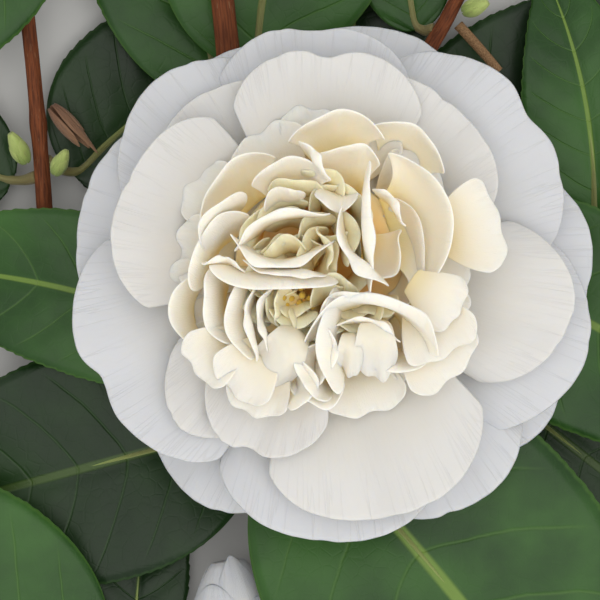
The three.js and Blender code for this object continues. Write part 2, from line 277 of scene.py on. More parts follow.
@dataclass(frozen=True)
class LeafFinish:
    """Leathery glossy leaf with a yellow-green midrib, looped side veins and a pale margin."""

    name: str
    dark: Colour = (0.013, 0.045, 0.008)
    light: Colour = (0.036, 0.105, 0.019)
    vein: Colour = (0.06, 0.135, 0.025)
    midrib: Colour = (0.15, 0.24, 0.04)
    cloud_scale: float = 55.0
    net_scale: float = 420.0
    speckle_scale: float = 900.0
    depth: float = 0.0006

    def build(self) -> bpy.types.Material:
        """Builds the material."""
        s = Shader(self.name)
        across, along = s.across_along()
        place = s.position()
        out = abs(across - 0.5) * 2.0
        cloud = s.noise(place, self.cloud_scale)
        base = s.mix(s.step(cloud, 0.3, 0.72), self.dark, self.light)
        phase = (along - (out ** VEIN_BOW) * VEIN_LEAN) * VEIN_PAIRS
        from_vein = abs(s.maths("FRACT", phase + (cloud - 0.5) * 0.25, 0.0) - 0.5)
        veins = s.step(from_vein, 0.045, 0.0) * s.step(out, 0.94, 0.7)
        net = s.step(s.cells(place, self.net_scale), 0.09, 0.0)
        rib = s.step(out, 0.05, 0.022)
        margin = s.step(out, 0.972, 0.99)
        speckle = s.step(s.noise(place, self.speckle_scale, 1.0), 0.6, 0.8)
        colour = s.mix(net * 0.07 + speckle * 0.1, base, self.light)
        colour = s.mix(veins * 0.55, colour, self.vein)
        colour = s.mix(rib * 0.85, colour, self.midrib)
        colour = s.mix(margin * 0.6, colour, self.vein)
        relief = 0.6 - veins * 0.3 - net * 0.04 - rib * 0.2 + cloud * 0.2
        rough = 0.3 + net * 0.03 + cloud * 0.14
        return s.finish(
            colour, rough, relief, self.depth, Coat_Weight=0.03, Coat_Roughness=0.2, Specular_IOR_Level=0.24,
        )


@dataclass(frozen=True)
class BarkFinish:
    """Young smooth bark with long furrows and fine pale dashes."""

    name: str
    dark: Colour = (0.08, 0.022, 0.008)
    light: Colour = (0.2, 0.058, 0.02)
    dash: Colour = (0.27, 0.14, 0.07)
    depth: float = 0.0006

    def build(self) -> bpy.types.Material:
        """Builds the material."""
        s = Shader(self.name)
        across, along = s.across_along()
        place = s.position()
        fibres = s.noise(s.vector(across * 26.0, along * 30.0), 1.0, 4.0)
        base = s.mix(s.step(fibres, 0.32, 0.68), self.dark, self.light)
        spots = s.noise(s.vector(across * 34.0, along * 70.0, 3.0), 1.0, 1.0)
        dashes = s.step(spots, 0.66, 0.74)
        stain = s.step(s.noise(place, 120.0), 0.5, 0.75)
        colour = s.mix(dashes * 0.7, base, self.dash)
        colour = s.mix(stain * 0.35, colour, self.dark)
        relief = fibres * 0.6 + dashes * 0.4
        return s.finish(colour, 0.62 + fibres * 0.2, relief, self.depth, Specular_IOR_Level=0.2)


@dataclass(frozen=True)
class ScaleFinish:
    """Silky bud scale: one colour deepening to another towards its tip, finely streaked."""

    name: str
    foot: Colour
    tip: Colour
    streak: Colour

    def build(self) -> bpy.types.Material:
        """Builds the material."""
        s = Shader(self.name)
        across, along = s.across_along()
        cloud = s.noise(s.position(), 260.0)
        base = s.ramp(along + (cloud - 0.5) * 0.3, [(0.05, self.foot), (0.95, self.tip)])
        lines = s.step(s.noise(s.vector(across * 40.0, along * 3.0), 1.0, 2.0), 0.5, 0.72)
        colour = s.mix(lines * 0.4, base, self.streak)
        return s.finish(colour, 0.5 + cloud * 0.15, lines * 0.5 + cloud * 0.5, 0.0003, Sheen_Weight=0.2)


@dataclass(frozen=True)
class FloorFinish:
    """Plain pale board with the faintest mottling."""

    name: str = "pale_floor"

    def build(self) -> bpy.types.Material:
        """Builds the material."""
        s = Shader(self.name)
        mottle = s.noise(s.position(), 12.0)
        colour = s.mix(mottle, (0.56, 0.56, 0.55), (0.6, 0.6, 0.59))
        return s.finish(colour, 0.85, mottle, 0.0001)


class Finishes:
    """Every material of the sprig, built once."""

    def __init__(self) -> None:
        """Builds the materials."""
        self.petal = PetalFinish("white_petal").build()
        self.inner = PetalFinish("inner_petal", foot=(0.76, 0.65, 0.43), middle=(0.66, 0.635, 0.575),
                                 margin=(0.635, 0.63, 0.62), vein_strength=0.2).build()
        self.pale = PetalFinish("pale_petaloid", foot=(0.86, 0.72, 0.44), middle=(0.79, 0.725, 0.6),
                                margin=(0.76, 0.735, 0.68), vein_strength=0.08, translucence=0.8).build()
        self.heart = PetalFinish("cream_petaloid", foot=(0.91, 0.7, 0.31), middle=(0.91, 0.82, 0.67),
                                 margin=(0.88, 0.83, 0.745), vein_strength=0.05, translucence=0.9).build()
        # A more golden, darker copy of the cream finish for the petaloids low in the heart and for the core:
        # partly the petaloids' own golden base, partly painted shade of the hollows.
        self.deep = PetalFinish("golden_and_painted_shade_petaloid", foot=(0.9, 0.5, 0.08), middle=(0.97, 0.755, 0.43),
                                margin=(0.97, 0.87, 0.62), vein_strength=0.05, translucence=0.9).build()
        self.leaf = LeafFinish("glossy_leaf").build()
        # A darker copy of the leaf finish: painted shade for the leaves that lie in shade under and behind
        # the others.
        self.shaded_leaf = LeafFinish("shade_painted_leaf", dark=(0.005, 0.018, 0.004),
                                      light=(0.014, 0.04, 0.009), vein=(0.024, 0.058, 0.014),
                                      midrib=(0.05, 0.09, 0.018)).build()
        self.bark = BarkFinish("young_bark").build()
        self.dead_wood = BarkFinish("dry_wood", dark=(0.15, 0.08, 0.036), light=(0.3, 0.18, 0.09),
                                    dash=(0.42, 0.3, 0.18)).build()
        self.petiole = ScaleFinish(
            "petiole", (0.16, 0.13, 0.04), (0.2, 0.28, 0.06), (0.12, 0.08, 0.03)).build()
        self.calyx = ScaleFinish("calyx_scale", (0.2, 0.26, 0.08), (0.4, 0.4, 0.22), (0.26, 0.2, 0.1)).build()
        self.bud = ScaleFinish(
            "green_bud_scale", (0.2, 0.3, 0.05), (0.36, 0.44, 0.12), (0.3, 0.24, 0.08)).build()
        self.husk = ScaleFinish(
            "dry_husk", (0.16, 0.07, 0.03), (0.3, 0.16, 0.08), (0.09, 0.035, 0.02)).build()
        self.stamen = ScaleFinish("stamen", (0.72, 0.6, 0.22), (0.74, 0.5, 0.06), (0.6, 0.36, 0.04)).build()


# --------------------------------------------------------------------- general modelling


def smooth(value: float, low: float, high: float) -> float:
    """Returns a smooth step of a number between two limits."""
    t = min(1.0, max(0.0, (value - low) / (high - low)))
    return t * t * (3 - 2 * t)


def rounded(off: float, drop: float) -> float:
    """Returns the reach of a rounded end, from 1 at its middle to 1 - drop at its sides.

    Args:
        off: How far out to the side, from -1 to 1.
        drop: How much shorter the sides are.

    Returns:
        The share of the full length.
    """
    return 1 - drop * (1 - math.sqrt(1 - ROUND_SHARE * off * off))


def bell(value: float, width: float) -> float:
    """Returns a bell that is 1 at 0 and falls away over a width."""
    return math.exp(-((value / width) ** 2))


def heading(degrees: float) -> Vector:
    """Returns a level unit vector, anticlockwise from +X."""
    return Vector((math.cos(math.radians(degrees)), math.sin(math.radians(degrees)), 0))


def cross_axes(direction: Vector) -> tuple[Vector, Vector]:
    """Returns two unit vectors square to a direction: level to its left, and upward."""
    left = UP.cross(direction)
    if left.length < 0.001:
        left = Vector((1, 0, 0))
    left.normalize()
    return left, direction.cross(left).normalized()


def smooth_route(points: list[Vector], steps: int) -> list[Vector]:
    """Returns an even run of points on a smooth curve through a few.

    Args:
        points: The points to pass through.
        steps: The number of runs between the first and the last.

    Returns:
        steps + 1 points, evenly spaced along the curve.
    """
    ends = [2 * points[0] - points[1], *points, 2 * points[-1] - points[-2]]
    fine = []
    for i in range(1, len(ends) - 2):
        a, b, c, d = ends[i - 1 : i + 3]
        square, cube = 2 * a - 5 * b + 4 * c - d, 3 * b - a - 3 * c + d
        for k in range(ROUTE_PARTS):
            t = k / ROUTE_PARTS
            fine.append(0.5 * (2 * b + (c - a) * t + square * t**2 + cube * t**3))
    fine.append(points[-1].copy())
    lengths = [0.0]
    for p, q in zip(fine, fine[1:]):
        lengths.append(lengths[-1] + (q - p).length)
    even = []
    k = 0
    for i in range(steps + 1):
        wanted = lengths[-1] * i / steps
        while k < len(fine) - 2 and lengths[k + 1] < wanted:
            k += 1
        even.append(fine[k].lerp(fine[k + 1], (wanted - lengths[k]) / (lengths[k + 1] - lengths[k])))
    return even


class Modeller:
    """Makes pieces in the row frame from shapes given in the sprig's own millimetres."""

    def __init__(self) -> None:
        """Finds the bloom's axis from the calyx in the frame."""
        low, high = (Vector(corner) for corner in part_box("calyx"))
        self.shift = Vector(((low.x + high.x) / 2, (low.y + high.y) / 2, low.z - CALYX_FOOT * MM))
        self.pieces: list[bpy.types.Object] = []

    def place(self, point: Vector) -> Vector:
        """Returns a point's place in the row frame, in metres."""
        return point * MM + self.shift

    def span(self, node: str) -> tuple[Vector, Vector]:
        """Returns the lowest and highest corners of a node of the frame, in the sprig's millimetres."""
        low, high = ((Vector(corner) - self.shift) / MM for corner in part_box(node))
        return low, high

    def sheet(self, name: str, size: tuple[int, int], surface: Place,
              closed: bool = False) -> bpy.types.Object:
        """Makes a sheet by bending a grid.

        Args:
            name: The piece's name.
            size: Faces across and along.
            surface: The place of a point from its across (-1 to 1) and along (0 to 1).
            closed: Whether the two side edges meet, as in a tube, whose ends are then capped.

        Returns:
            The piece, with a map of its across and along.
        """
        bm = bmesh.new()
        bmesh.ops.create_grid(bm, x_segments=size[0], y_segments=size[1], size=1.0)
        chart = bm.loops.layers.uv.new("UVMap")
        for face in bm.faces:
            for loop in face.loops:
                loop[chart].uv = ((loop.vert.co.x + 1) / 2, (loop.vert.co.y + 1) / 2)
        for vert in bm.verts:
            vert.co = self.place(surface(vert.co.x, (vert.co.y + 1) / 2))
        if closed:
            bmesh.ops.remove_doubles(bm, verts=bm.verts, dist=SEAM)
            bmesh.ops.holes_fill(bm, edges=bm.edges, sides=size[0] + 1)
            bmesh.ops.recalc_face_normals(bm, faces=bm.faces)
        data = bpy.data.meshes.new(name)
        bm.to_mesh(data)
        bm.free()
        data.polygons.foreach_set("use_smooth", [True] * len(data.polygons))
        piece = bpy.data.objects.new(name, data)
        bpy.context.scene.collection.objects.link(piece)
        return piece

    def tube(self, name: str, route: list[Vector], radii: list[float], sides: int,
             relief: Callable[[float, float], float] = lambda turn, t: 1.0) -> bpy.types.Object:
        """Makes a closed tube along a route.

        Args:
            name: The piece's name.
            route: Evenly spaced centres.
            radii: One radius for each centre.
            sides: Faces round the tube.
            relief: A factor on the radius, from the turn round the tube and the way along it.

        Returns:
            The piece.
        """
        last = len(route) - 1
        frames = []
        for i in range(last + 1):
            along = (route[min(i + 1, last)] - route[max(i - 1, 0)]).normalized()
            frames.append(cross_axes(along))

        def surface(u: float, v: float) -> Vector:
            """Places a point round the tube."""
            i = round(v * last)
            turn = math.pi * (u + 1)
            left, above = frames[i]
            radius = radii[i] * relief(turn, v)
            return route[i] + radius * (math.cos(turn) * left + math.sin(turn) * above)

        return self.sheet(name, (sides, last), surface, closed=True)

    def thicken(self, piece: bpy.types.Object, thickness: float, level: int) -> None:
        """Gives a sheet a wall and, for a level above 0, rounds it."""
        wall = piece.modifiers.new("wall", "SOLIDIFY")
        wall.thickness = thickness * MM
        wall.offset = 0.0
        if level:
            rounding = piece.modifiers.new("rounding", "SUBSURF")
            rounding.levels = level
            rounding.render_levels = level

    def settle(self, piece: bpy.types.Object, material: bpy.types.Material, slot: str, *nodes: str) -> None:
        """Dresses a piece, puts it on the root body and hides the nodes of the frame that it stands for."""
        piece.data.materials.append(material)
        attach(piece, "root")
        if nodes:
            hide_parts(*nodes)
        self.pieces.append(piece)


# ------------------------------------------------------------------------------- petals


@dataclass(frozen=True)
class Petal:
    """One broad petal: its bearing, reach, width and tip notch, in degrees and millimetres."""

    bearing: float
    reach: float
    width: float
    notch: float = 0.0


@dataclass
class Petals:
    """The broad petals of the bloom, from the lowest to the highest."""

    guard: tuple[Petal, ...] = (
        Petal(-36, 48.4, 30), Petal(72, 43.6, 34), Petal(243, 46.8, 32), Petal(0, 47.6, 36),
        Petal(112, 41, 32), Petal(-57, 49.8, 34), Petal(168, 43.6, 38), Petal(-20, 48.6, 36),
        Petal(36, 46, 42, 2), Petal(134, 43, 34), Petal(-86, 48.4, 40), Petal(93, 42, 34, 1),
        Petal(208, 45, 42, 2),
    )
    inner: tuple[Petal, ...] = (
        Petal(-12, 44.2, 28), Petal(130, 36, 32), Petal(-73, 45.4, 38), Petal(50, 36, 32),
        Petal(229, 37, 20), Petal(88, 37.6, 32, 1.5), Petal(160, 36.8, 34), Petal(-112, 35.4, 22, 1.5),
    )
    foot_height: float = 23.0
    foot_radius: float = 5.4
    pitch: float = 0.85
    dish: float = 3.0
    dish_step: float = 0.35
    dish_radius: float = 45.0
    hump: float = 1.2
    low_hump: float = 2.2
    low_droop: float = 5.0
    fold: float = 0.3
    tip_drop: float = 0.4
    nicks: int = 3
    nick_width: float = 0.045
    notch_width: float = 0.2
    rim_wave: float = 0.35
    thickness: float = 0.45
    mesh: tuple[int, int] = (34, 20)

    def height(self, level: float, radius: float) -> float:
        """Returns the height of a level's surface at a distance from the axis."""
        dish = self.dish + self.dish_step * level
        return self.foot_height + self.pitch * level + dish * (radius / self.dish_radius) ** 2

    def surface(self, petal: Petal, level: int) -> Place:
        """Returns the surface of one petal: dished, rimmed with a slow wave, faintly nicked."""
        chance = random.Random(100 + level)
        outward = heading(petal.bearing)
        left = UP.cross(outward)
        phases = [chance.uniform(0, 2 * math.pi) for _ in range(4)]
        tilt = chance.uniform(-0.9, 0.9)
        low = 1 - level / (len(self.guard) + len(self.inner))
        cup = chance.uniform(1.2, 2.6) * (1 - 2.0 * low)
        wave = chance.uniform(0.5, 0.95)
        droop = chance.uniform(0.8, 1.6) + self.low_droop * low
        nicks = [(chance.uniform(-0.9, 0.9), chance.uniform(0.15, 0.45)) for _ in range(self.nicks)]

        def place(u: float, v: float) -> Vector:
            """Places one point."""
            nick = self.rim_wave * math.sin(4 * u + phases[0]) + 0.04 * math.sin(31 * u + phases[1])
            nick -= sum(depth * bell(u - spot, self.nick_width) for spot, depth in nicks)
            notch = petal.notch * bell(u, self.notch_width)
            reach = (petal.reach - self.foot_radius) * v * rounded(u, self.tip_drop)
            along = self.foot_radius + reach + v**8 * nick - v**6 * notch
            aside = u * petal.width / 2 * (0.2 + 0.85 * v**0.8) / 1.02
            rim = v**4 * wave * (1 + math.sin(5 * u + phases[2]) * 0.8 + 0.35 * math.sin(11 * u + phases[3]))
            lift = rim + cup * u * u * v + tilt * u * v - droop * smooth(v, 0.5, 1.15) ** 2
            pleat = 0.05 * math.sin(17 * u + phases[1]) * smooth(v, 0.3, 0.9)
            pleat += self.fold * math.sin(5.5 * u + phases[0]) * smooth(v, 0.25, 0.8)
            pleat += (self.hump + self.low_hump * low) * math.sin(math.pi * v)
            point = along * outward + aside * left
            point.z = self.height(level, math.hypot(along, aside)) + lift + pleat
            return point

        return place

    def build(self, modeller: Modeller, finishes: Finishes) -> None:
        """Builds and dresses every petal."""
        rows = [("guard", f"{i + 1:02}", petal) for i, petal in enumerate(self.guard)]
        rows += [("inner", str(i + 1), petal) for i, petal in enumerate(self.inner)]
        for level, (ring, number, petal) in enumerate(rows):
            piece = modeller.sheet(f"{ring}_{number}_blade", self.mesh, self.surface(petal, level))
            modeller.thicken(piece, self.thickness, 1)
            material = finishes.petal if ring == "guard" else finishes.inner
            modeller.settle(piece, material, "petal", f"{ring}_petal_{number}")


# -------------------------------------------------------------------------------- heart


class Habit(Enum):
    """How a petaloid stands: its climb at foot and tip, and where the one turns into the other.

    The climbs are in degrees, and the turn's start and end are fractions of the length.
    """

    BOWL = (16.0, 72.0, 0.0, 0.85)
    CUP = (80.0, 48.0, 0.35, 0.95)
    RIBBON = (88.0, 22.0, 0.8, 1.0)
    FALL = (86.0, -48.0, 0.22, 0.62)
    SHELF = (34.0, -8.0, 0.1, 0.9)


@dataclass(frozen=True)
class Petaloid:
    """One small petal of the heart.

    Its crest stands at a plan place, and it leans towards its facing. Width runs along its
    rim and length from foot to rim, wrap is the turn of its rim in degrees towards its inner
    side, and over is the crest's height above the heart's dome.
    """

    name: str
    at: tuple[float, float]
    facing: float
    width: float
    length: float
    habit: Habit
    wrap: float = 60.0
    over: float = 0.0


BOWL, CUP, RIBBON, FALL, SHELF = Habit

PETALOIDS = tuple(Petaloid(*row) for row in (
    ("top_arch", (2, 26), 95, 19, 12, BOWL, 95, -1),
    ("top_right_arch", (16.5, 23), 58, 17, 12, BOWL, 80, -1),
    ("top_cup", (4, 20.5), 92, 13, 13, BOWL, 95, 0),
    ("top_ribbon", (-0.5, 18), 35, 9, 10, RIBBON, 25, 1.5),
    ("middle_lip", (2, 9), 262, 8, 9, CUP, 60, -2),
    ("centre_fold_high", (1.5, 3), 15, 8, 9, RIBBON, 30, -2.5),
    ("centre_fold_low", (3.5, -2), 70, 8, 9, CUP, 50, -3),
    ("centre_fold_left", (0, -3), 110, 7, 9, CUP, 50, -3.5),
    ("slit_wall", (6.3, 4.5), 4, 10, 9, CUP, 20, -3.5),
    ("upper_left_cup", (-6, 18), 97, 15, 13, BOWL, 90, 0),
    ("upper_left_fold", (-7, 13), 104, 8, 8, CUP, 50, -1.5),
    ("left_dome", (-17.5, 16), 133, 20, 13, BOWL, 100, -1),
    ("left_second", (-19, 9.5), 138, 13, 9, CUP, 70, 0),
    ("left_third", (-21, 4.5), 146, 18, 11, CUP, 80, -0.5),
    ("slit_upper_lip", (-8, 8.6), 110, 19, 12, RIBBON, 60, 1),
    ("slit_floor", (-6, 4), 105, 14, 10, BOWL, 60, -6),
    ("slit_lower_lip", (-7, -0.5), 268, 20, 12, RIBBON, 85, 0.5),
    ("slit_tongue", (-7.5, 4.5), 112, 8, 9, CUP, 60, -4),
    ("left_ribbon", (-16.5, 1), 80, 8, 8, RIBBON, 30, 0),
    ("long_ribbon_upper", (-6.5, -2), 264, 15, 9, RIBBON, 15, -0.5),
    ("long_ribbon_lower", (-8.5, -4.5), 266, 23, 9, CUP, 25, 0),
    ("outer_left_pleat", (-26, -9), 186, 15, 12, CUP, 85, -0.5),
    ("second_pleat", (-20.5, -7.5), 188, 15, 11, CUP, 70, 0),
    ("third_pleat", (-16.5, -9.5), 184, 15, 11, CUP, 50, 0),
    ("fourth_pleat", (-13, -10), 184, 14, 10, RIBBON, 40, 0),
    ("fifth_pleat", (-11, -9.5), 180, 12, 9, RIBBON, 50, -0.5),
    ("eye_left_wall", (-8.5, -7.5), 178, 9, 9, BOWL, 100, -3),
    ("eye_lower_fold", (-4.5, -9), 272, 7, 7, CUP, 60, -5),
    ("eye_outer_fold", (-5, -11), 268, 9, 8, CUP, 50, -3),
    ("bright_fall", (-5.6, -13.5), 236, 9.5, 23, FALL, -70, 0.5),
    ("low_left_hollow", (-4.2, -19.5), 196, 12, 11, CUP, 110, 0.5),
    ("low_right_hollow", (-1, -21), 350, 10, 11, CUP, 70, 0.5),
    ("middle_fall", (-1, -13), 180, 19, 12, CUP, 30, 0.5),
    ("middle_fall_back", (2.5, -15), 0, 12, 12, CUP, 40, -1),
    ("eye_right_lip", (3, -4.7), 112, 10, 9, CUP, 30, 0),
    ("great_arc", (9.5, -5.5), 82, 32, 12, RIBBON, 150, 0),
    ("arc_curl", (8.5, -9.5), 72, 12, 11, RIBBON, 40, -1),
    ("bright_panel", (9, -12), 270, 8, 20, FALL, -30, 0),
    ("small_panel", (4.8, -13.5), 265, 5, 14, FALL, -30, -1),
    ("right_point", (20.5, -6.5), 326, 11, 11, SHELF, -30, 0.5),
    ("great_right_cup", (22, 7.5), 8, 32, 17, BOWL, 120, 0.5),
    ("right_horn", (12.5, 10.5), 38, 9, 9, RIBBON, 50, 0.5),
    ("standing_blade", (8.4, 6), 2, 24, 15, RIBBON, -15, 2),
    ("slant_blade", (4.3, 1), 215, 17, 14, RIBBON, 60, 1.5),
    ("cup_floor", (18, 2), 2, 22, 16, BOWL, 90, -6),
    ("cup_floor_low", (13, 0), 330, 12, 10, BOWL, 80, -6),
    ("right_outer", (27, 6.5), 12, 18, 11, SHELF, 70, -3.5),
    ("lower_left_shelf", (-19.5, -16), 215, 12, 10, SHELF, 70, -0.5),
    ("lower_left_ruffle", (-13.5, -19), 232, 13, 11, SHELF, 60, -0.5),
    ("lower_left_slip", (-11, -22), 245, 12, 12, SHELF, 50, -2.5),
    ("low_slip", (-1, -24.5), 268, 10, 13, CUP, 60, 0),
    ("lower_right_lobe", (20, -12.5), 305, 15, 11, SHELF, 60, -2),
    ("lower_right_outer", (20.5, -16.5), 312, 16, 11, SHELF, 60, -4.5),
    ("low_middle_right", (14, -18.5), 284, 13, 12, CUP, 50, -2),
))


@dataclass
class Heart:
    """The crowded petaloids at the middle of the bloom, on a low core, round a few stamens."""

    edge_over_foot: float = 5.65
    dome_under_top: float = 3.2
    dome_margin: float = 4.0
    floor: float = field(init=False)
    dome_edge: float = field(init=False)
    dome_rise: float = field(init=False)
    dome_radius: float = field(init=False)
    thickness: float = 0.34
    lip: float = 24.0
    side_drop: float = 0.34
    line_steps: int = 40
    first_seed: int = 500
    mesh: tuple[int, int] = (20, 13)
    core_radius: float = 15.0
    core_over_foot: float = 1.15
    core_bulge: float = 3.0
    ring_count: int = 15
    ring_radius: float = 23.0
    pith_count: int = 22
    fold_share: float = 0.64
    skirt_over: float = -11.0
    fold_over: float = -4.0
    pith_over: float = -6.0
    # Petaloids lower than this under the dome take the golden finish, with its painted shade.
    deep_from: float = -2.2
    open_from: float = 9.0
    open_middle: float = 6.0
    open_half: float = 13.0
    stamens: int = 16
    stamen_steps: int = 14
    stamen_foot: float = 2.65
    stamen_head: float = 10.65
    eye: tuple[float, float] = (-4.4, -6.6)
    eye_clear: float = 5.0
    # Low petaloids in the open right cup, which light reaches, keep the cream finish without the painted
    # shade.
    bright_floors: tuple[str, ...] = ("cup_floor", "cup_floor_low")
    petaloids: tuple[Petaloid, ...] = field(default=PETALOIDS)

    def dome(self, x: float, y: float) -> float:
        """Returns the height of the heart's dome over a plan place."""
        out = min(1.0, math.hypot(x, y) / self.dome_radius)
        return self.dome_edge + self.dome_rise * math.sqrt(1 - out * out)

    def centre_line(self, petaloid: Petaloid) -> list[Triple]:
        """Returns how far out, how high and how steep a petaloid is, step by step from its foot."""
        first, last, start, end = petaloid.habit.value
        run = petaloid.length / self.line_steps
        line = [(0.0, 0.0, math.radians(first))]
        for i in range(self.line_steps):
            v = (i + 0.5) / self.line_steps
            turn = (last - first) * smooth(v, start, end)
            climb = math.radians(first + turn - self.lip * smooth(v, 0.88, 1.0))
            out, high, _ = line[-1]
            line.append((out + run * math.cos(climb), high + run * math.sin(climb), climb))
        return line

    def surface(self, petaloid: Petaloid, seed: int) -> Place:
        """Returns the surface of one petaloid, wrapped about a centre line that bends over."""
        chance = random.Random(seed)
        side_phase, rim_phase = chance.uniform(*PHASES), chance.uniform(*PHASES)
        wave = chance.uniform(0.5, 1.0) * (0.5 if petaloid.habit is SHELF else 1.0)
        skew = chance.uniform(-0.25, 0.25)
        bow = math.radians(petaloid.wrap) / 2
        line = self.centre_line(petaloid)
        crest_out, crest_high, _ = max(line, key=lambda row: row[1])
        facing = heading(petaloid.facing)
        left = UP.cross(facing)
        crest = Vector((*petaloid.at, self.dome(*petaloid.at) + petaloid.over))
        origin = crest - facing * crest_out - UP * crest_high

        def place(u: float, v: float) -> Vector:
            """Places one point."""
            off = u + skew * (1 - u * u)
            t = v * (rounded(off, self.side_drop) + 0.02 * v * math.sin(8 * u + side_phase))
            k = min(self.line_steps - 1, int(t * self.line_steps))
            part = t * self.line_steps - k
            out, high, climb = (a + (b - a) * part for a, b in zip(line[k], line[k + 1]))
            half = petaloid.width / 2 * (0.3 + 0.7 * smooth(t, -0.25, 0.8))
            angle = bow * u
            aside, inward = half * math.sin(angle) / bow, half * (1 - math.cos(angle)) / bow
            normal = -math.sin(climb) * facing + math.cos(climb) * UP
            ripple = wave * v**2 * math.sin(4.2 * u + rim_phase) + 0.3 * v**4 * math.sin(9 * u + side_phase)
            return origin + facing * out + UP * high + left * aside + normal * (inward + ripple)

        return place

    def in_cup(self, spot: Vector) -> bool:
        """Tells whether a plan place is inside the great right cup, which stays open."""
        return spot.x > self.open_from and abs(spot.y - self.open_middle) < self.open_half

    def filler(self) -> list[Petaloid]:
        """Returns the small petaloids that fill under and between the larger ones."""
        chance = random.Random(7)
        made = []
        for i in range(self.ring_count):
            bearing = 360 * i / self.ring_count + chance.uniform(-6, 6)
            spot = heading(bearing) * (self.ring_radius + chance.uniform(-1.5, 1))
            made.append(Petaloid(f"skirt_{i + 1:02}", (spot.x, spot.y), bearing, chance.uniform(12, 16), 11,
                                 SHELF, chance.uniform(30, 70), self.skirt_over))
            spot = heading(bearing + 12) * (self.ring_radius * self.fold_share + chance.uniform(-2, 2))
            if self.in_cup(spot):
                continue
            made.append(Petaloid(f"fold_{i + 1:02}", (spot.x, spot.y), bearing + chance.uniform(-30, 30),
                                 chance.uniform(9, 12), 10, CUP, chance.uniform(40, 90), self.fold_over))
        for i in range(self.pith_count):
            bearing = GOLDEN_ANGLE * i
            spot = heading(bearing) * (3 + 11 * math.sqrt(i / self.pith_count))
            if (spot - Vector((*self.eye, 0))).length < self.eye_clear or self.in_cup(spot):
                continue
            made.append(Petaloid(f"pith_{i + 1:02}", (spot.x, spot.y), bearing + chance.uniform(-50, 50),
                                 chance.uniform(8, 11), 9, CUP, chance.uniform(50, 100), self.pith_over))
        return made

    def build(self, modeller: Modeller, finishes: Finishes) -> None:
        """Builds and dresses every petaloid, the core and the stamens."""
        self._fit(modeller)
        pieces = list(self.petaloids) + self.filler()
        for i, petaloid in enumerate(pieces):
            surface = self.surface(petaloid, self.first_seed + i)
            piece = modeller.sheet(f"heart_{petaloid.name}", self.mesh, surface)
            modeller.thicken(piece, self.thickness, 1)
            material = finishes.heart
            if petaloid.habit in (SHELF, FALL):
                material = finishes.pale
            # Low petaloids take the golden finish, partly painted shade of the hollows; the lit floors of the
            # right cup do not.
            elif petaloid.over < self.deep_from and petaloid.name not in self.bright_floors:
                material = finishes.deep
            modeller.settle(piece, material, "heart", "petaloid_heart")
        self._core(modeller, finishes)
        self._stamens(modeller, finishes)

    def _fit(self, modeller: Modeller) -> None:
        """Fits the dome to the heart's box in the frame."""
        low, high = modeller.span("petaloid_heart")
        self.floor = low.z
        self.dome_edge = low.z + self.edge_over_foot
        self.dome_rise = high.z - self.dome_under_top - self.dome_edge
        self.dome_radius = (high.x - low.x) / 2 + self.dome_margin

    def _core(self, modeller: Modeller, finishes: Finishes) -> None:
        """Builds the low core that closes the view between the petaloids."""

        def surface(u: float, v: float) -> Vector:
            """Places a point on a lens-shaped core."""
            turn = math.pi * (u + 1)
            level = math.sin(math.pi * v)
            radius = self.core_radius * max(0.02, level)
            bulge = self.core_bulge * math.cos(math.pi * v) * (1 if v < 0.5 else 0.3)
            height = self.floor + self.core_over_foot + bulge
            return Vector((radius * math.cos(turn), radius * math.sin(turn), height))

        piece = modeller.sheet("heart_core", (40, 16), surface, closed=True)
        # The core wears the golden finish, partly painted shade of the hollows that it closes.
        modeller.settle(piece, finishes.deep, "heart", "petaloid_heart")

    def _stamens(self, modeller: Modeller, finishes: Finishes) -> None:
        """Builds the golden stamens in the eye, each a thread swollen at its head."""
        chance = random.Random(31)
        for i in range(self.stamens):
            outward = heading(GOLDEN_ANGLE * i)
            spread = 0.5 + 2.6 * math.sqrt(i / self.stamens)
            top = self.floor + self.stamen_head + chance.uniform(-1, 1)
            foot = Vector((*self.eye, self.floor + self.stamen_foot)) + outward * spread * 0.6
            head = Vector((*self.eye, top)) + outward * spread
            steps = self.stamen_steps
            route = smooth_route([foot, foot.lerp(head, 0.5) + outward * 0.4, head], steps)
            radii = [0.22 + 0.42 * bell(k / steps - 0.93, 0.06) for k in range(steps + 1)]
            piece = modeller.tube(f"heart_stamen_{i + 1:02}", route, radii, 8)
            modeller.settle(piece, finishes.stamen, "heart", "petaloid_heart")


# -------------------------------------------------------------------------------- stems


@dataclass(frozen=True)
class Twig:
    """A woody axis through a few points, with its radius at foot and tip."""

    points: tuple[Triple, ...]
    foot: float
    tip: float

    def route(self, steps: int) -> list[Vector]:
        """Returns evenly spaced centres."""
        return smooth_route([Vector(p) for p in self.points], steps)

    def radius(self, t: float) -> float:
        """Returns the radius at a fraction of the length."""
        return self.foot + (self.tip - self.foot) * t

    def stalk_start(self, t: float, target: Vector) -> Vector:
        """Returns where a stalk bound for a target leaves the bark."""
        route = self.route(100)
        k = min(99, max(1, round(100 * t)))
        tangent = (route[k + 1] - route[k - 1]).normalized()
        direction = target - route[k]
        outward = (direction - tangent * direction.dot(tangent)).normalized()
        return route[k] + outward * self.radius(t) * 0.8


